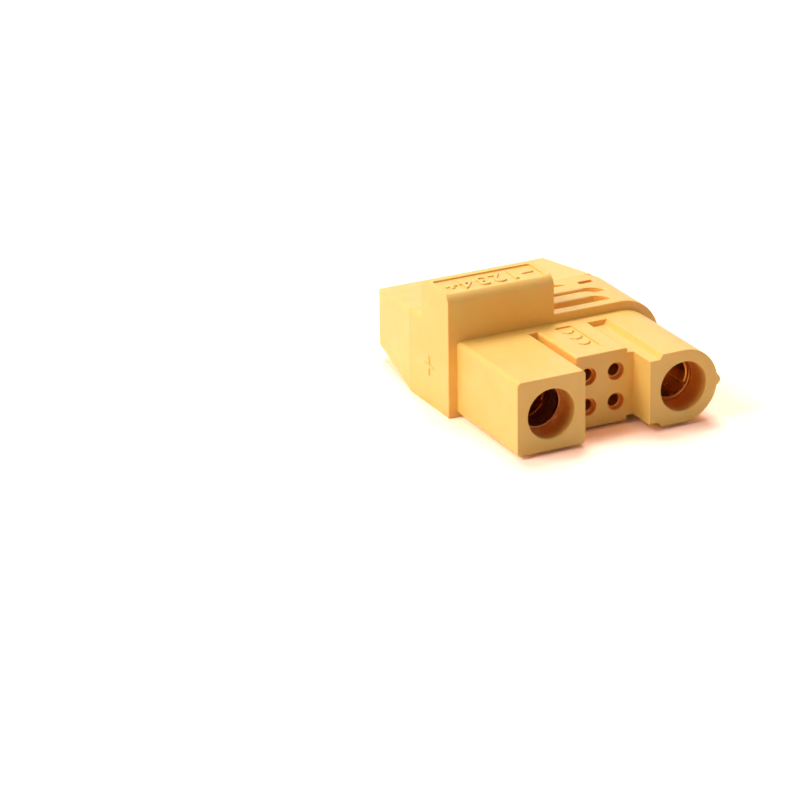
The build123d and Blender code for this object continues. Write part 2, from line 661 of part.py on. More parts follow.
def precharge_resistor():
    """The barrel resistor in the keyway, which bridges the two tabs."""
    start = CONTACT_FRONT + PRECHARGE_RING_LENGTH
    middle = turned([
        (0, start), (RESISTOR_RADIUS + RESISTOR_CAP_PROUD, start),
        (RESISTOR_RADIUS + RESISTOR_CAP_PROUD, start + RESISTOR_CAP_LENGTH),
        (RESISTOR_RADIUS, start + RESISTOR_CAP_LENGTH),
        (RESISTOR_RADIUS, POSITIVE_FRONT - RESISTOR_CAP_LENGTH),
        (RESISTOR_RADIUS + RESISTOR_CAP_PROUD, POSITIVE_FRONT - RESISTOR_CAP_LENGTH),
        (RESISTOR_RADIUS + RESISTOR_CAP_PROUD, POSITIVE_FRONT),
        (0, POSITIVE_FRONT),
    ])
    radius = SEAT_RADIUS + KEYWAY_HEIGHT / 2
    return at_positive(Rot(0, -KEYWAY_ANGLE, 0) * Pos(radius, 0, 0) * middle)


def sleeve_side(radius, start, end):
    """Points of one side of the sleeve's section: end bands that taper to a straight waist."""
    middle = (start + end) / 2
    waist = radius - SLEEVE_WAIST
    return [
        (radius, start),
        (radius, start + SLEEVE_END_BAND),
        (waist, middle - SLEEVE_WAIST_LENGTH / 2),
        (waist, middle + SLEEVE_WAIST_LENGTH / 2),
        (radius, end - SLEEVE_END_BAND),
        (radius, end),
    ]


def spring_sleeve(front):
    """The rolled band: half of its front edge is cut back, and its split runs along one side."""
    start = front + SLEEVE_SETBACK
    end = start + SLEEVE_LENGTH
    outer = CONTACT_BORE_RADIUS - SLEEVE_CLEARANCE
    inner = outer - SLEEVE_SHEET
    solid = turned(sleeve_side(outer, start, end) + sleeve_side(inner, start, end)[::-1])
    split = block(0, 2 * outer, start - 1, end + 1, -SLEEVE_SPLIT / 2, SLEEVE_SPLIT / 2)
    cutback = block(-2 * outer, 2 * outer, start - 1, start + SLEEVE_CUTBACK, 0, 2 * outer)
    return solid - Rot(0, -SLEEVE_SPLIT_ANGLE, 0) * (split + cutback)


def signal_socket(x, z):
    """A small turned socket with a collar and a solder cup."""
    tail = POCKET_FLOOR + SIGNAL_TAIL_LENGTH
    solid = turned([
        (0, SIGNAL_FRONT + SIGNAL_BORE_DEPTH),
        (SIGNAL_BORE_RADIUS, SIGNAL_FRONT + SIGNAL_BORE_DEPTH),
        (SIGNAL_BORE_RADIUS, SIGNAL_FRONT + RIM_CHAMFER),
        (SIGNAL_BORE_RADIUS + RIM_CHAMFER, SIGNAL_FRONT),
        (SIGNAL_RADIUS, SIGNAL_FRONT),
        (SIGNAL_RADIUS, SIGNAL_COLLAR_FRONT),
        (SIGNAL_COLLAR_RADIUS, SIGNAL_COLLAR_FRONT),
        (SIGNAL_COLLAR_RADIUS, POCKET_FLOOR),
        (SIGNAL_RADIUS, POCKET_FLOOR),
        (SIGNAL_RADIUS, tail),
        (SIGNAL_CUP_RADIUS, tail),
        (SIGNAL_CUP_RADIUS, tail - SIGNAL_CUP_DEPTH),
        (0, tail - SIGNAL_CUP_DEPTH),
    ])
    return Pos(x, 0, z) * solid


def signal_clip(x, z):
    """The four-fingered clip pressed into a signal socket."""
    start = SIGNAL_FRONT + CLIP_SETBACK
    outer = SIGNAL_BORE_RADIUS - CLIP_CLEARANCE
    inner = outer - CLIP_WALL
    end = start + CLIP_LENGTH
    solid = turned([(inner, start), (outer, start), (outer, end), (inner, end)])
    cut = Pos(0, start + CLIP_SLOT_LENGTH / 2 - 1, 0) * Box(3 * outer, CLIP_SLOT_LENGTH + 2, CLIP_SLOT)
    return Pos(x, 0, z) * (solid - cut - Rot(0, 90, 0) * cut)


def write_parts():
    """Builds every piece and writes it as parts/NODE.step."""
    pieces = {
        "front_housing": front_housing(),
        "rear_cap": rear_cap(),
        "positive_socket": positive_socket(),
        "positive_spring_sleeve": at_positive(spring_sleeve(POSITIVE_FRONT + LEAD_IN_CONE_LENGTH)),
        "positive_precharge_ring": precharge_ring(),
        "positive_insulator_sleeve": insulator_sleeve(),
        "precharge_resistor": precharge_resistor(),
        "negative_socket": negative_socket(),
        "negative_spring_sleeve": at_negative(spring_sleeve(CONTACT_FRONT)),
    }
    for number, (x, z) in enumerate(SIGNAL_PLACES, start=1):
        pieces[f"signal_socket_{number}"] = signal_socket(x, z)
        pieces[f"signal_clip_{number}"] = signal_clip(x, z)
    os.makedirs("parts", exist_ok=True)
    for name, solid in pieces.items():
        export_step(ORIGIN_SHIFT * solid, f"parts/{name}.step")


write_parts()
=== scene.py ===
import math

import bmesh
import bpy
import numpy as np
from bpy.props import FloatProperty, FloatVectorProperty, PointerProperty
from mathutils import Matrix, Vector


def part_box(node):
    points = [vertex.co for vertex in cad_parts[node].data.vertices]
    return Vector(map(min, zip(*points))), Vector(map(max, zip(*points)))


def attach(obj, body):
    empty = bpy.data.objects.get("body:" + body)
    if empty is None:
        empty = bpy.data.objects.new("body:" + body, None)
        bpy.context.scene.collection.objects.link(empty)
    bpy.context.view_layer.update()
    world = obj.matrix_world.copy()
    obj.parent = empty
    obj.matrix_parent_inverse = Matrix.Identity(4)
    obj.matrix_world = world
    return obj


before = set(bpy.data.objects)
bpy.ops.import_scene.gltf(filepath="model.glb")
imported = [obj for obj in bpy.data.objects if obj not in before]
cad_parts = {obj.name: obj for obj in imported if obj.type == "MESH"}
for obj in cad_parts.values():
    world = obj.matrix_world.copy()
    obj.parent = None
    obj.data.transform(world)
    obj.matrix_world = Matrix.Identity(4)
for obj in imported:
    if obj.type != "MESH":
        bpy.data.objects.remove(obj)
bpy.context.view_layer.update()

bl_info = {
    "name": "Battery Connector Finish",
    "version": (1, 0, 0),
    "blender": (4, 5, 0),
    "location": "3D View > Sidebar > Connector",
    "description": "Finishes a battery connector's mouldings, contacts, linings and marks, and its studio",
    "category": "Object",
}

MM = 0.001
HOUSING_LOW, HOUSING_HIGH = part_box("front_housing")
SIGNAL_NODES = [f"signal_socket_{number}" for number in range(1, 5)]
CLIP_NODES = [f"signal_clip_{number}" for number in range(1, 5)]

# Places and sizes on the CAD frame's axes, in millimetres, and a few plain ratios.
HOUSING_LEFT = HOUSING_LOW.x / MM
HOUSING_FRONT = HOUSING_LOW.y / MM
HOUSING_TOP = HOUSING_HIGH.z / MM
NEGATIVE_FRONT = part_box("negative_socket")[0].y / MM
SIGNAL_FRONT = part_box("signal_socket_1")[0].y / MM
CUP_START = 0.0
BORE_MIDDLE = 0.1875
BORE_HEIGHT = 6.0
POWER_BORES = {"pitch": 10.6, "rise": 0.0, "radius": 3.7, "front": HOUSING_FRONT, "reach": 9.0}
SIGNAL_BORES = {"pitch": 2.225, "rise": 2.3, "radius": 1.3, "front": SIGNAL_FRONT - 1, "reach": 5.0}

PLUS_MIDDLE = (1.82, 6.11)
PLUS_REACH = 1.58
PLUS_LEVEL_SHARE = 0.97
RIB_PLATE_MIDDLE = (-8.8625, -0.825)
RIB_PLATE_TOP = HOUSING_TOP - 0.25
RIB_SIGN_OFFSET = 6.1
RIB_SIGN_REACH = 1.0
RIB_SIGN_WIDENING = 1.35
RIB_SIGN_EXTRA = 0.07
FIGURE_PITCH = 2.5
FIGURE_HEIGHT = 3.0
FIGURE_PROUD = 0.18
FIGURE_SPREAD = 0.03
FIGURE_ROUND = 0.04
FONT_SIZE_PER_HEIGHT = 1.38
BLOCK_PLATE_TOP = 11.25
ARROW_TIPS = (-13.1, -10.7, -8.3)
ARROW_REACH = 0.85
ARROW_WIDENING = 1.2
ARROW_EXTRA = 0.05
CROSSING_STEP = 0.01
FLECK_SET_BACK = 0.07
# The x and z of each fleck, and its half sizes.
FLECKS = (((-12.85, 11.42), (0.2, 0.1, 0.1)), ((-8.05, 11.42), (0.16, 0.09, 0.09)))

WELD_DISTANCE = 0.001
SHARP_DEGREES = 50

# Places in metres and turns in degrees. Each lamp stands off LAMP_TARGET by its own vector and faces it.
FLOOR_HALF = 2.5
LAMP_TARGET = Vector((0, 0, 0.008))
TOP_LAMP, TOP_SIZE = Vector((0.14, 0.38, 0.90)), 0.5
SIDE_LAMP, SIDE_SIZE = Vector((-0.73, 0.10, 0.67)), 0.5
LOW_LAMP, LOW_SIZE = Vector((-0.95, -0.06, 0.25)), 0.4
CAMERA_PLACE = (-0.25199, -0.46086, 0.21239)
CAMERA_AZIMUTH, CAMERA_ELEVATION, CAMERA_ROLL = -26.438, 22.179, -0.821


class Term:
    """A socket of a node tree for use in Python arithmetic, where each step adds a Math node."""

    def __init__(self, nodes, socket):
        self.nodes = nodes
        self.socket = socket

    def math(self, operation, *values):
        """A Math node with this operation on these values."""
        return self.nodes.node("ShaderNodeMath", {"operation": operation}, dict(enumerate(values)))

    def __add__(self, other):
        return self.math("ADD", self, other)

    def __radd__(self, other):
        return self.math("ADD", other, self)

    def __sub__(self, other):
        return self.math("SUBTRACT", self, other)

    def __rsub__(self, other):
        return self.math("SUBTRACT", other, self)

    def __mul__(self, other):
        return self.math("MULTIPLY", self, other)

    def __rmul__(self, other):
        return self.math("MULTIPLY", other, self)

    def __abs__(self):
        return self.math("ABSOLUTE", self)

    def root(self):
        """The square root of this value."""
        return self.math("SQRT", self)

    def either(self, other):
        """The larger of this value and another."""
        return self.math("MAXIMUM", self, other)

    def between(self, low, high):
        """A smooth step that is 0 where this value is low and 1 where it is high."""
        settings = {"interpolation_type": "SMOOTHSTEP"}
        return self.nodes.node("ShaderNodeMapRange", settings, {0: self, 1: low, 2: high})


class Nodes:
    """A node tree, and the one way in which nodes are added to it."""

    def __init__(self, tree):
        self.tree = tree

    def node(self, kind, settings, inputs, output=0):
        """Adds a node of this kind, applies its settings, then sets or links its sockets."""
        made = self.tree.nodes.new(kind)
        for name, value in settings.items():
            setattr(made, name, value)
        for key, value in inputs.items():
            if isinstance(value, Term):
                self.link(value, made.inputs[key])
            else:
                made.inputs[key].default_value = value
        return Term(self, made.outputs[output])

    def link(self, term, socket):
        """Lets a term feed a socket."""
        self.tree.links.new(term.socket, socket)

    def seen(self):
        """1 for rays from the camera, off a gloss or through glass, and 0 for the light that things get."""
        rays = self.node("ShaderNodeLightPath", {}, {}).socket.node.outputs
        straight = Term(self, rays["Is Camera Ray"])
        reflected = Term(self, rays["Is Glossy Ray"])
        through = Term(self, rays["Is Transmission Ray"])
        return straight.either(reflected).either(through)


class Finish(Nodes):
    """A procedural material: one Principled BSDF and the nodes that vary it over a surface."""

    def __init__(self, name, constants):
        self.material = bpy.data.materials.new(name)
        self.material.use_nodes = True
        super().__init__(self.material.node_tree)
        self.shader = self.tree.nodes["Principled BSDF"]
        for socket, value in constants.items():
            self.shader.inputs[socket].default_value = value
        place = self.node("ShaderNodeTexCoord", {}, {}, "Object")
        self.place = self.node("ShaderNodeVectorMath", {"operation": "SCALE"}, {0: place, "Scale": 1 / MM})
        parts = self.node("ShaderNodeSeparateXYZ", {}, {0: self.place}).socket.node
        self.x, self.y, self.z = (Term(self, socket) for socket in parts.outputs)

    def drive(self, socket, term):
        """Lets a term vary one socket of the Principled BSDF."""
        self.link(term, self.shader.inputs[socket])

    def noise(self, per_mm, detail, seed, stretch=(1, 1, 1)):
        """Noise from 0 to 1 about a half, with so many features to a millimetre, drawn out by stretch."""
        where = self.node("ShaderNodeVectorMath", {"operation": "MULTIPLY"}, {0: self.place, 1: stretch})
        return self.node(
            "ShaderNodeTexNoise", {"noise_dimensions": "4D"},
            {"Vector": where, "W": seed, "Scale": per_mm, "Detail": detail, "Roughness": 0.55},
        )

    def mix(self, factor, first, second):
        """A colour between two colours."""
        return self.node(
            "ShaderNodeMix", {"data_type": "RGBA", "clamp_factor": True},
            {"Factor": factor, 6: first, 7: second}, output=2,
        )

    def painted_bore_shade_mask(self, pitch, rise, radius, front, reach):
        """Mask of the painted shade in the bores: how deep a point lies in them, 0 at their front and 1
        from about two thirds of a radius in.

        The bores run along Y for reach from the front, pitch to either side of BORE_MIDDLE and rise above
        and below BORE_HEIGHT. The tone ends just outside the radius, so that the walls have it all.
        """
        across = abs(self.x - BORE_MIDDLE) - pitch
        level = abs(self.z - BORE_HEIGHT) - rise
        outside = (across * across + level * level).root().between(radius + 0.04, radius + 0.16)
        depth = self.y - front
        return (1 - outside) * depth.between(0.0, radius * 0.65) * (1 - depth.between(reach, reach + 0.2))

    def emboss(self, height):
        """Bumps the surface by a height in millimetres."""
        self.drive("Normal", self.node(
            "ShaderNodeBump", {}, {"Strength": 1.0, "Distance": MM, "Height": height}
        ))


def rgba(colour, gain=1.0):
    """A colour of three values as four, scaled by gain."""
    return (colour[0] * gain, colour[1] * gain, colour[2] * gain, 1.0)


def nylon(name, settings, seed, depth):
    """Moulded nylon: spark-eroded grain, cloudy pigment, pale dust, dark specks and painted shade that
    deepens the colour into the bores.
    """
    finish = Finish(name, {
        "IOR": 1.53,
        "Specular IOR Level": 0.55,
        "Subsurface Weight": depth,
        "Subsurface Radius": (1.0, 0.13, 0.03),
        "Subsurface Scale": 0.9 * MM,
    })
    cloud = finish.noise(0.22, detail=3.0, seed=seed)
    flow = finish.noise(0.35, detail=2.0, seed=seed + 1.7)
    grain = finish.noise(5.5, detail=2.0, seed=seed + 3.1)
    fine = finish.noise(13.0, detail=2.0, seed=seed + 5.3)
    specks = finish.noise(1.6, detail=1.0, seed=seed + 8.7).between(0.76, 0.8)
    # Painted shade: a mask that deepens the colour into the power and signal bores, where shade falls.
    bores = finish.painted_bore_shade_mask(**POWER_BORES) + finish.painted_bore_shade_mask(**SIGNAL_BORES)
    colour = finish.mix(cloud.between(0.3, 0.7), rgba(settings.nylon_colour), rgba(settings.nylon_shade))
    colour = finish.mix(grain.between(0.62, 0.8) * 0.22, colour, rgba(settings.nylon_dust))
    colour = finish.mix(specks * 0.25, colour, rgba(settings.nylon_shade, 0.6))
    finish.drive("Base Color", finish.mix(bores, colour, rgba(settings.painted_bore_shade)))
    finish.drive("Roughness", settings.nylon_roughness + (grain - 0.5) * 0.18 + (cloud - 0.5) * 0.08)
    grain_height = settings.nylon_grain / MM
    finish.emboss(grain * grain_height + fine * (grain_height * 0.35) + flow * 0.02)
    return finish.material


def plated(name, colour, shade, roughness, line_period, line_depth, seed, wear_and_painted_shade=None):
    """Plated brass turned about the Y axis: fine rings, a slow change of tone and a little tarnish.

    With the last argument, a colour and a Y in millimetres, the metal has that colour from the front to
    there: painted shade, a darker metal where the socket lies in a shaded mouth or deep in its bore.
    """
    finish = Finish(name, {"Metallic": 1.0, "Specular Tint": rgba(colour)})
    cloud = finish.noise(0.9, detail=3.0, seed=seed)
    lines = finish.noise(1 / line_period, detail=2.0, seed=seed + 2.3, stretch=(0.05, 1.0, 0.05))
    tone = finish.mix(cloud.between(0.35, 0.7), rgba(colour), rgba(shade))
    tone = finish.mix(lines.between(0.55, 0.75) * 0.25, tone, rgba(shade, 0.8))
    if wear_and_painted_shade is not None:
        painted_shade_colour, painted_shade_to = wear_and_painted_shade
        # Painted shade: from the front to that Y the metal takes the darker colour, in place of the dark
        # reflection of the shaded mouth and the shade deep in a bore.
        tone = finish.mix(1 - finish.y.between(painted_shade_to - 0.1, painted_shade_to + 0.1), tone, rgba(painted_shade_colour))
    finish.drive("Base Color", tone)
    finish.drive("Roughness", roughness + (cloud - 0.5) * 0.2 + (lines - 0.5) * 0.12)
    finish.emboss(lines * line_depth + cloud * 0.004)
    return finish.material


def dark_lining(name, settings, seed):
    """Dark moulded plastic with a soft sheen and fine drag lines along the bore."""
    finish = Finish(name, {"IOR": 1.5})
    cloud = finish.noise(1.4, detail=3.0, seed=seed)
    drag = finish.noise(4.0, detail=2.0, seed=seed + 4.4, stretch=(1.0, 0.08, 1.0))
    dark, wear_and_painted_shade = rgba(settings.insulator_colour), rgba(settings.insulator_colour, 1.8)
    finish.drive("Base Color", finish.mix(cloud, dark, wear_and_painted_shade))
    finish.drive("Roughness", 0.38 + (drag - 0.5) * 0.25)
    finish.emboss(drag * 0.006 + cloud * 0.006)
    return finish.material


def banded_lacquer(name, low, high, settings, seed):
    """Lacquered resistor from low to high: a tan body, three value rings and bright metal at both ends."""
    finish = Finish(name, {"IOR": 1.5, "Coat Weight": 0.6, "Coat Roughness": 0.12})
    along = (finish.y - low.y / MM) * (MM / (high.y - low.y))
    cloud = finish.noise(3.0, detail=2.0, seed=seed)
    colour = finish.mix(cloud, rgba(settings.resistor_colour), rgba(settings.resistor_colour, 0.8))
    for middle, tint in ((0.36, (0.25, 0.08, 0.02)), (0.5, (0.02, 0.02, 0.02)), (0.64, (0.35, 0.12, 0.01))):
        ring = 1 - abs(along - middle).between(0.025, 0.04)
        colour = finish.mix(ring, colour, rgba(tint))
    ends = abs(along - 0.5).between(0.275, 0.29)
    finish.drive("Base Color", finish.mix(ends, colour, rgba(settings.signal_colour)))
    finish.drive("Metallic", ends)
    finish.drive("Roughness", 0.3 + cloud * 0.15)
    finish.emboss(cloud * 0.01)
    return finish.material


def dress(nodes, material):
    """Gives CAD nodes a material in place of the plain one."""
    for name in nodes:
        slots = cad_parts[name].data.materials
        slots.clear()
        slots.append(material)


def closed_tube(rings):
    """Vertices and faces of a closed skin over an array of rings, whose end rings shrink to poles.

    Vertex (i, j) is point j of ring i. Each four neighbours (i, j), (i, j + 1), (i + 1, j + 1) and
    (i + 1, j) make a face, with j taken round the ring, and triangles join both end rings to their means.
    """
    count, around = rings.shape[:2]
    vertices = np.concatenate([rings.reshape(-1, 3), rings[:1].mean(axis=1), rings[-1:].mean(axis=1)])
    index = np.arange(count * around).reshape(count, around)
    turned = np.roll(index, -1, axis=1)
    quads = np.stack([index[:-1], turned[:-1], turned[1:], index[1:]], axis=-1).reshape(-1, 4)
    first = np.stack([turned[0], index[0], np.full(around, count * around)], axis=-1)
    last = np.stack([index[-1], turned[-1], np.full(around, count * around + 1)], axis=-1)
    return vertices, quads.tolist() + first.tolist() + last.tolist()


def bead(start, end, side, out, width, height, sink=0.06, steps=18, around=20):
    """A raised stroke with rounded ends, as vertices and faces, in millimetres.

    Along the run from start to end, s goes from -1 to 1 by a cosine, so that points crowd at the ends. The
    scale there is r = (1 - s ^ 8) ^ (1 / 2). Around the run at angle t the point stands off it by
    side * width / 2 * r * cos(t), and along out by height * r * sin(t) ^ 0.6 above the surface, or by
    -sink * r * |sin(t)| below it.
    """
    start, end, side, out = (np.array(v, float) for v in (start, end, side, out))
    pole = 0.06
    s = -np.cos(np.linspace(pole, math.pi - pole, steps))[:, None, None]
    t = np.linspace(0, 2 * math.pi, around, endpoint=False)[None, :, None]
    r = np.sqrt(1 - s ** 8)
    rise = np.where(np.sin(t) > 0, height * np.abs(np.sin(t)) ** 0.6, -sink * np.abs(np.sin(t)))
    run = (start + end) / 2 + (end - start) / 2 * s
    return closed_tube(run + side * (width / 2) * r * np.cos(t) + out * r * rise)


def speck(centre, size):
    """A small rounded fleck, as vertices and faces, in millimetres.

    Latitude a goes from pole to pole and longitude b all round: the point is
    centre + size * (sin(a) cos(b), sin(a) sin(b), cos(a)), each value times its own half size.
    """
    pole = 0.15
    a = np.linspace(pole, math.pi - pole, 9)[:, None]
    b = np.linspace(0, 2 * math.pi, 12, endpoint=False)[None, :]
    ball = np.stack([np.sin(a) * np.cos(b), np.sin(a) * np.sin(b), np.cos(a) + 0 * b], axis=-1)
    return closed_tube(np.array(centre, float) + ball * np.array(size, float))


def make_piece(name, shapes, material, body):
    """Makes one object of several (vertices, faces) shapes in millimetres, riding on a CAD body."""
    mesh = bpy.data.meshes.new(name)
    offsets = np.cumsum([0] + [len(vertices) for vertices, _ in shapes])
    points = np.concatenate([vertices for vertices, _ in shapes]) * MM
    faces = [
        [vertex + int(offset) for vertex in face]
        for offset, (_, group) in zip(offsets, shapes) for face in group
    ]
    mesh.from_pydata(points.tolist(), [], faces)
    place_piece(name, mesh, material, body)


def place_piece(name, mesh, material, body):
    """Links a mesh as an object at the origin, welded, smooth, with outward faces, riding on a CAD body."""
    work = bmesh.new()
    work.from_mesh(mesh)
    bmesh.ops.remove_doubles(work, verts=work.verts, dist=WELD_DISTANCE * MM)
    bmesh.ops.recalc_face_normals(work, faces=work.faces)
    work.to_mesh(mesh)
    work.free()
    mesh.polygons.foreach_set("use_smooth", [True] * len(mesh.polygons))
    mesh.set_sharp_from_angle(angle=math.radians(SHARP_DEGREES))
    mesh.materials.clear()
    mesh.materials.append(material)
    piece = bpy.data.objects.new(name, mesh)
    bpy.context.scene.collection.objects.link(piece)
    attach(piece, body)


def raised_figure(name, text, centre, material):
    """Makes one moulded figure that stands on a level face and is read from the rear."""
    curve = bpy.data.curves.new(name, "FONT")
    curve.body = text
    curve.align_x = "CENTER"
    curve.align_y = "CENTER"
    curve.size = FIGURE_HEIGHT * FONT_SIZE_PER_HEIGHT * MM
    curve.extrude = FIGURE_PROUD * MM
    curve.offset = FIGURE_SPREAD * MM
    curve.bevel_depth = FIGURE_ROUND * MM
    curve.bevel_resolution = 2
    holder = bpy.data.objects.new(name + "_curve", curve)
    mesh = bpy.data.meshes.new_from_object(holder)
    bpy.data.objects.remove(holder)
    half_turn = Matrix.Rotation(math.pi, 4, "Z")
    mesh.transform(Matrix.Translation(Vector(centre) * MM) @ half_turn)
    place_piece(name, mesh, material, "housing")


class MouldingSettings(bpy.types.PropertyGroup):
    """Colours and surface of the moulded nylon and of its raised marks."""

    nylon_colour: FloatVectorProperty(
        name="Nylon", description="Main colour of the mouldings",
        subtype="COLOR", size=3, min=0, max=1, default=(0.96, 0.58, 0.145),
    )
    nylon_shade: FloatVectorProperty(
        name="Nylon Shade", description="Deeper tone in the pigment's clouds",
        subtype="COLOR", size=3, min=0, max=1, default=(0.945, 0.55, 0.12),
    )
    nylon_dust: FloatVectorProperty(
        name="Nylon Dust", description="Pale tone that catches in the grain",
        subtype="COLOR", size=3, min=0, max=1, default=(0.97, 0.7, 0.22),
    )
    # Painted shade: the darker tone that the walls take inside the bores, standing in for the shade there.
    painted_bore_shade: FloatVectorProperty(
        name="Bore Wall Shade", description="Painted shade on the bore walls",
        subtype="COLOR", size=3, min=0, max=1, default=(0.86, 0.30, 0.035),
    )
    nylon_roughness: FloatProperty(
        name="Roughness", description="Roughness of the moulded surface",
        default=0.42, min=0, max=1, subtype="FACTOR",
    )
    nylon_depth: FloatProperty(
        name="Light Depth", description="Share of the light that spreads below the surface",
        default=0.4, min=0, max=1, subtype="FACTOR",
    )
    nylon_grain: FloatProperty(
        name="Grain Height", description="Height of the spark-eroded grain",
        default=0.026 * MM, min=0, max=0.2 * MM, unit="LENGTH", precision=6,
    )
    mark_height: FloatProperty(
        name="Mark Height", description="How far the raised marks stand proud",
        default=0.2 * MM, min=0, max=0.4 * MM, unit="LENGTH", precision=6,
    )
    mark_width: FloatProperty(
        name="Mark Width", description="Width of a stroke of the raised marks",
        default=0.5 * MM, min=0.1 * MM, max=1 * MM, unit="LENGTH", precision=6,
    )


class ContactSettings(bpy.types.PropertyGroup):
    """Colours and surface of the sockets, rings, sleeves, clips and linings."""

    power_colour: FloatVectorProperty(
        name="Power Sockets", description="Plating of the two power sockets",
        subtype="COLOR", size=3, min=0, max=1, default=(0.96, 0.7, 0.36),
    )
    signal_colour: FloatVectorProperty(
        name="Signal Sockets", description="Plating of the signal sockets",
        subtype="COLOR", size=3, min=0, max=1, default=(0.82, 0.46, 0.15),
    )
    # Painted shade: a dark bronze given to the positive socket's bore and sleeve, in place of the shade
    # deep in that bore.
    painted_deep_shade: FloatVectorProperty(
        name="Deep Contact", description="Painted shade of the positive socket's bore and its sleeve",
        subtype="COLOR", size=3, min=0, max=1, default=(0.62, 0.26, 0.09),
    )
    # Painted shade: the dark tone of the socket rims and lead-ins, in place of the dark reflection of the
    # shaded mouths.
    painted_shade_colour: FloatVectorProperty(
        name="Rim Shade", description="Painted shade on the socket rims and lead-ins",
        subtype="COLOR", size=3, min=0, max=1, default=(0.5, 0.17, 0.035),
    )
    spring_colour: FloatVectorProperty(
        name="Springs", description="Flash plating of the spring sleeves and clips",
        subtype="COLOR", size=3, min=0, max=1, default=(0.98, 0.55, 0.2),
    )
    insulator_colour: FloatVectorProperty(
        name="Insulator", description="Dark plastic behind the pre-charge ring",
        subtype="COLOR", size=3, min=0, max=1, default=(0.12, 0.035, 0.014),
    )
    resistor_colour: FloatVectorProperty(
        name="Resistor", description="Lacquer of the resistor's body",
        subtype="COLOR", size=3, min=0, max=1, default=(0.48, 0.34, 0.18),
    )
    contact_roughness: FloatProperty(
        name="Roughness", description="Roughness of the plated sockets",
        default=0.3, min=0, max=1, subtype="FACTOR",
    )


class StageSettings(bpy.types.PropertyGroup):
    """The studio: floor, lamps and camera."""

    floor_colour: FloatVectorProperty(
        name="Floor", description="Colour of the table top, which lights the part from below",
        subtype="COLOR", size=3, min=0, max=1, default=(0.84, 0.76, 0.68),
    )
    # Painted bounce light: the camera sees the floor in this warm tone, which clips to white where lit and
    # turns the shadows orange, like light thrown off the nylon.
    painted_bounce_tint: FloatVectorProperty(
        name="Floor Bounce Tint", description="Tone of the floor to the camera, which shows in the shadow",
        subtype="COLOR", size=3, min=0, max=1, default=(0.95, 0.66, 0.53),
    )
    floor_gain: FloatProperty(
        name="Floor Gain", description="How much paler the floor is to the camera than to the part",
        default=1.95, min=1, max=3,
    )
    surround: FloatProperty(
        name="Surround", description="Strength of the even light from all round",
        default=0.15, min=0, max=2,
    )
    top_power: FloatProperty(
        name="Top Lamp", description="Power of the large lamp above and behind",
        default=7.0, min=0, unit="POWER",
    )
    side_power: FloatProperty(
        name="Side Lamp", description="Power of the large lamp high on the left",
        default=6.3, min=0, unit="POWER",
    )
    low_power: FloatProperty(
        name="Low Lamp", description="Power of the weak low lamp on the left",
        default=1.6, min=0, unit="POWER",
    )
    lens: FloatProperty(
        name="Lens", description="Focal length on a 36 mm sensor",
        default=175.88, min=10, max=400, unit="CAMERA",
    )


class CONNECTOR_OT_mouldings(bpy.types.Operator):
    """Finish the front housing and the rear cap in moulded nylon"""

    bl_idname = "connector.mouldings"
    bl_label = "Finish Mouldings"

    def execute(self, context):
        settings = context.scene.connector_mouldings
        dress(["front_housing"], nylon("housing_nylon", settings, seed=1.0, depth=settings.nylon_depth))
        dress(["rear_cap"], nylon("cap_nylon", settings, seed=21.0, depth=settings.nylon_depth))
        return {"FINISHED"}


class CONNECTOR_OT_contacts(bpy.types.Operator):
    """Finish the power sockets, the pre-charge ring and the signal sockets in plated brass"""

    bl_idname = "connector.contacts"
    bl_label = "Finish Contacts"

    def execute(self, context):
        settings = context.scene.connector_contacts
        rough = settings.contact_roughness
        power = settings.power_colour
        signal = settings.signal_colour
        # Painted shade on the negative and signal rims and lead-ins: a dark tone from the front, in place
        # of the dark reflection of the shaded mouths.
        dress(["negative_socket"], plated(
            "negative_plating", power, rgba(power, 0.82), rough, line_period=0.11, line_depth=0.004,
            seed=2.0, wear_and_painted_shade=(settings.painted_shade_colour, NEGATIVE_FRONT + 0.5),
        ))
        # Painted shade: the positive socket takes the dark deep colour from its front back to CUP_START.
        dress(["positive_socket"], plated(
            "positive_plating", power, rgba(power, 0.82), rough, line_period=0.11, line_depth=0.004,
            seed=3.0, wear_and_painted_shade=(settings.painted_deep_shade, CUP_START),
        ))
        dress(["positive_precharge_ring"], plated(
            "ring_plating", power, rgba(power, 0.9), rough - 0.12, line_period=0.15, line_depth=0.003,
            seed=5.0,
        ))
        dress(SIGNAL_NODES, plated(
            "signal_plating", signal, rgba(signal, 0.8), rough + 0.04, line_period=0.09, line_depth=0.005,
            seed=9.0, wear_and_painted_shade=(settings.painted_shade_colour, SIGNAL_FRONT + 0.2),
        ))
        return {"FINISHED"}


class CONNECTOR_OT_linings(bpy.types.Operator):
    """Finish the spring sleeves, the clips, the insulator sleeve and the resistor"""

    bl_idname = "connector.linings"
    bl_label = "Finish Linings"

    def execute(self, context):
        settings = context.scene.connector_contacts
        spring = settings.spring_colour
        deep = settings.painted_deep_shade
        dress(["negative_spring_sleeve"], plated(
            "sleeve_flash", spring, rgba(spring, 0.88), roughness=0.3, line_period=0.6, line_depth=0.001,
            seed=12.0,
        ))
        # Painted shade: the positive sleeve deep in its bore takes the same dark colour.
        dress(["positive_spring_sleeve"], plated(
            "painted_deep_shade_flash", deep, rgba(deep, 0.85), roughness=0.45, line_period=0.6, line_depth=0.001,
            seed=13.0,
        ))
        dress(CLIP_NODES, plated(
            "clip_flash", spring, rgba(spring, 0.75), roughness=0.34, line_period=0.3, line_depth=0.003,
            seed=15.0,
        ))
        dress(["positive_insulator_sleeve"], dark_lining("insulator_plastic", settings, seed=17.0))
        low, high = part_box("precharge_resistor")
        dress(["precharge_resistor"], banded_lacquer("resistor_lacquer", low, high, settings, seed=19.0))
        return {"FINISHED"}


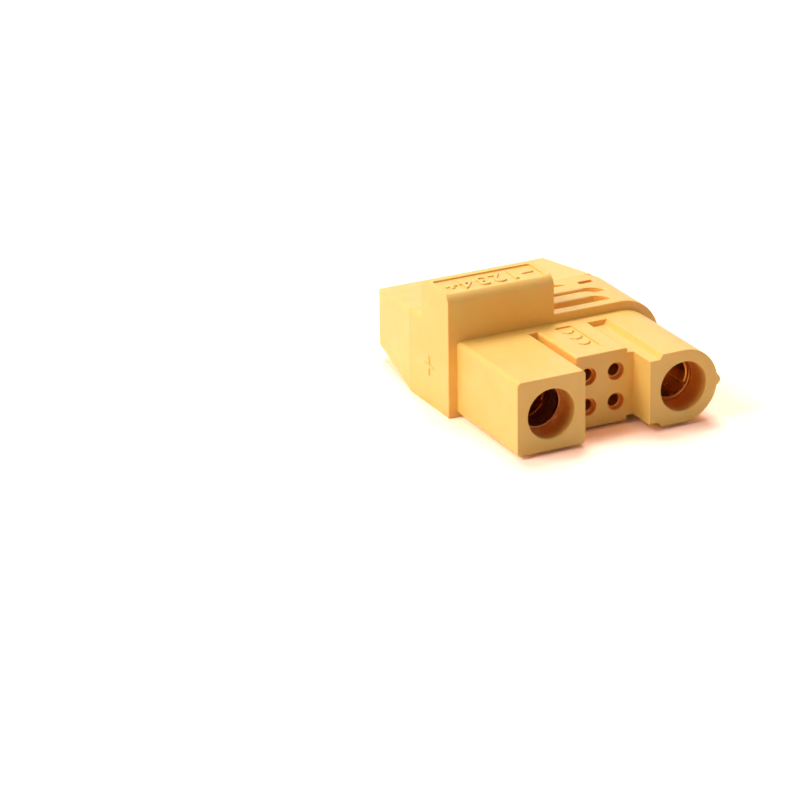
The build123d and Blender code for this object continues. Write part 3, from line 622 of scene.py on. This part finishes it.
class CONNECTOR_OT_marks(bpy.types.Operator):
    """Raise the plus sign, the contact numbers and the mating arrows, and leave the mould's flash flecks"""

    bl_idname = "connector.marks"
    bl_label = "Raise Marks"

    def execute(self, context):
        settings = context.scene.connector_mouldings
        width = settings.mark_width / MM
        height = settings.mark_height / MM
        material = nylon("mark_nylon", settings, seed=31.0, depth=0.0)
        self.side_plus(material, width, height)
        self.rib_legend(material, width, height)
        self.mating_arrows(material, width, height)
        self.flash_flecks(material)
        return {"FINISHED"}

    def side_plus(self, material, width, height):
        """The plus sign on the left side, whose strokes differ in height so that no faces coincide."""
        x = HOUSING_LEFT
        y, z = PLUS_MIDDLE
        out = (-1, 0, 0)
        level_height = height * PLUS_LEVEL_SHARE
        upright = bead((x, y, z - PLUS_REACH), (x, y, z + PLUS_REACH), (0, 1, 0), out, width, height)
        level = bead((x, y - PLUS_REACH, z), (x, y + PLUS_REACH, z), (0, 0, 1), out, width, level_height)
        make_piece("side_plus_sign", [upright, level], material, "housing")

    def rib_legend(self, material, width, height):
        """Polarity signs and the four contact numbers on the rib's plate, read from the rear."""
        middle, y = RIB_PLATE_MIDDLE
        z = RIB_PLATE_TOP
        plus, minus = middle - RIB_SIGN_OFFSET, middle + RIB_SIGN_OFFSET
        reach = RIB_SIGN_REACH
        wide = width * RIB_SIGN_WIDENING
        high = height + RIB_SIGN_EXTRA
        out = (0, 0, 1)
        signs = [
            bead((plus - reach, y, z), (plus + reach, y, z), (0, 1, 0), out, wide, high),
            bead((plus, y - reach, z), (plus, y + reach, z), (1, 0, 0), out, wide, high - CROSSING_STEP),
            bead((minus - reach, y, z), (minus + reach, y, z), (0, 1, 0), out, wide, high),
        ]
        make_piece("rib_polarity_signs", signs, material, "housing")
        for place, number in zip((1.5, 0.5, -0.5, -1.5), "1234"):
            raised_figure(f"rib_number_{number}", number, (middle + place * FIGURE_PITCH, y, z), material)

    def mating_arrows(self, material, width, height):
        """Three raised arrowheads on the signal block's plate, pointing at the mating face."""
        strokes = []
        for y in ARROW_TIPS:
            for side in (-1, 1):
                tip = np.array([BORE_MIDDLE, y, BLOCK_PLATE_TOP])
                run = np.array([side * ARROW_REACH, ARROW_REACH, 0.0])
                across = np.array([math.sqrt(0.5), -side * math.sqrt(0.5), 0.0])
                rise = height + ARROW_EXTRA + CROSSING_STEP * side
                strokes.append(bead(tip, tip + run, across, (0, 0, 1), width * ARROW_WIDENING, rise))
        make_piece("block_mating_arrows", strokes, material, "housing")

    def flash_flecks(self, material):
        """Two flecks of flash left on the top front edge of the square tower."""
        flecks = [speck((x, HOUSING_FRONT + FLECK_SET_BACK, z), size) for (x, z), size in FLECKS]
        make_piece("edge_flash_flecks", flecks, material, "housing")


class CONNECTOR_OT_stage(bpy.types.Operator):
    """Set up the pale floor, the soft lamps and the camera"""

    bl_idname = "connector.stage"
    bl_label = "Set Up Studio"

    def execute(self, context):
        settings = context.scene.connector_stage
        context.scene.view_settings.view_transform = "Standard"
        self.floor(settings)
        self.world(context, settings)
        self.lamp("top_lamp", TOP_LAMP, TOP_SIZE, settings.top_power)
        self.lamp("side_lamp", SIDE_LAMP, SIDE_SIZE, settings.side_power)
        self.lamp("low_lamp", LOW_LAMP, LOW_SIZE, settings.low_power)
        self.camera(context, settings)
        return {"FINISHED"}

    def floor(self, settings):
        """A level table top under the part, brighter to the camera and in reflections than it lights."""
        mesh = bpy.data.meshes.new("floor")
        across = np.linspace(-FLOOR_HALF, FLOOR_HALF, 5)
        x, y = np.meshgrid(across, across, indexing="ij")
        points = np.stack([x, y, np.zeros_like(x)], axis=-1).reshape(-1, 3)
        index = np.arange(x.size).reshape(x.shape)
        corners = (index[:-1, :-1], index[1:, :-1], index[1:, 1:], index[:-1, 1:])
        mesh.from_pydata(points.tolist(), [], np.stack(corners, axis=-1).reshape(-1, 4).tolist())
        floor = bpy.data.objects.new("floor", mesh)
        bpy.context.scene.collection.objects.link(floor)
        finish = Finish("table_top", {
            "Base Color": rgba(settings.floor_colour), "Roughness": 0.9, "Specular IOR Level": 0.0,
        })
        lit = Term(finish, finish.shader.outputs[0])
        # Painted bounce light: the warm tint shows only in the floor's shadows, as the orange of light
        # thrown off the nylon.
        painted_bounce_colour = rgba(settings.painted_bounce_tint, settings.floor_gain)
        shown = finish.node("ShaderNodeBsdfDiffuse", {}, {"Color": painted_bounce_colour})
        chosen = finish.node("ShaderNodeMixShader", {}, {0: finish.seen(), 1: lit, 2: shown})
        finish.link(chosen, finish.tree.nodes["Material Output"].inputs["Surface"])
        mesh.materials.append(finish.material)

    def world(self, context, settings):
        """An even surround that the camera and reflections see as white."""
        world = bpy.data.worlds.new("surround")
        world.use_nodes = True
        context.scene.world = world
        nodes = Nodes(world.node_tree)
        background = nodes.tree.nodes["Background"]
        background.inputs["Color"].default_value = (1, 1, 1, 1)
        levels = {"Value": nodes.seen(), "To Min": settings.surround, "To Max": 1.0}
        nodes.link(nodes.node("ShaderNodeMapRange", {}, levels), background.inputs["Strength"])

    def lamp(self, name, direction, size, power):
        """A square area lamp that faces the part."""
        data = bpy.data.lights.new(name, "AREA")
        data.shape = "SQUARE"
        data.size = size
        data.energy = power
        lamp = bpy.data.objects.new(name, data)
        bpy.context.scene.collection.objects.link(lamp)
        lamp.location = LAMP_TARGET + direction
        lamp.rotation_mode = "QUATERNION"
        lamp.rotation_quaternion = direction.to_track_quat("Z", "Y")

    def camera(self, context, settings):
        """The camera at the photograph's place, turn and lens."""
        azimuth, elevation, roll = map(math.radians, (CAMERA_AZIMUTH, CAMERA_ELEVATION, CAMERA_ROLL))
        right = Vector((math.cos(azimuth), math.sin(azimuth), 0))
        back = Vector((
            math.sin(azimuth) * math.cos(elevation),
            -math.cos(azimuth) * math.cos(elevation),
            math.sin(elevation),
        ))
        up = back.cross(right)
        side = right * math.cos(roll) + up * math.sin(roll)
        rise = up * math.cos(roll) - right * math.sin(roll)
        data = bpy.data.cameras.new("camera")
        data.sensor_width = 36
        data.lens = settings.lens
        data.clip_start, data.clip_end = 0.02, 20
        camera = bpy.data.objects.new("camera", data)
        context.scene.collection.objects.link(camera)
        turn = Matrix((side, rise, back)).transposed().to_4x4()
        camera.matrix_world = Matrix.Translation(CAMERA_PLACE) @ turn
        context.scene.camera = camera


class CONNECTOR_PT_sidebar(bpy.types.Panel):
    """Lists the steps that finish the connector, with their settings"""

    bl_idname = "CONNECTOR_PT_sidebar"
    bl_label = "Battery Connector"
    bl_space_type = "VIEW_3D"
    bl_region_type = "UI"
    bl_category = "Connector"

    def draw(self, context):
        scene = context.scene
        groups = (
            (scene.connector_mouldings, (CONNECTOR_OT_mouldings, CONNECTOR_OT_marks)),
            (scene.connector_contacts, (CONNECTOR_OT_contacts, CONNECTOR_OT_linings)),
            (scene.connector_stage, (CONNECTOR_OT_stage,)),
        )
        for settings, operators in groups:
            box = self.layout.box()
            for name in settings.bl_rna.properties.keys():
                if name not in ("rna_type", "name"):
                    box.prop(settings, name)
            for operator in operators:
                box.operator(operator.bl_idname)


CLASSES = (
    MouldingSettings,
    ContactSettings,
    StageSettings,
    CONNECTOR_OT_mouldings,
    CONNECTOR_OT_contacts,
    CONNECTOR_OT_linings,
    CONNECTOR_OT_marks,
    CONNECTOR_OT_stage,
    CONNECTOR_PT_sidebar,
)


def register():
    """Registers the classes and hangs the settings on the scene."""
    for cls in CLASSES:
        bpy.utils.register_class(cls)
    bpy.types.Scene.connector_mouldings = PointerProperty(type=MouldingSettings)
    bpy.types.Scene.connector_contacts = PointerProperty(type=ContactSettings)
    bpy.types.Scene.connector_stage = PointerProperty(type=StageSettings)


def unregister():
    """Takes the settings off the scene and unregisters the classes."""
    del bpy.types.Scene.connector_stage
    del bpy.types.Scene.connector_contacts
    del bpy.types.Scene.connector_mouldings
    for cls in reversed(CLASSES):
        bpy.utils.unregister_class(cls)


def main():
    """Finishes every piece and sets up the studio."""
    register()
    bpy.ops.connector.mouldings()
    bpy.ops.connector.contacts()
    bpy.ops.connector.linings()
    bpy.ops.connector.marks()
    bpy.ops.connector.stage()


if __name__ == "__main__":
    main()
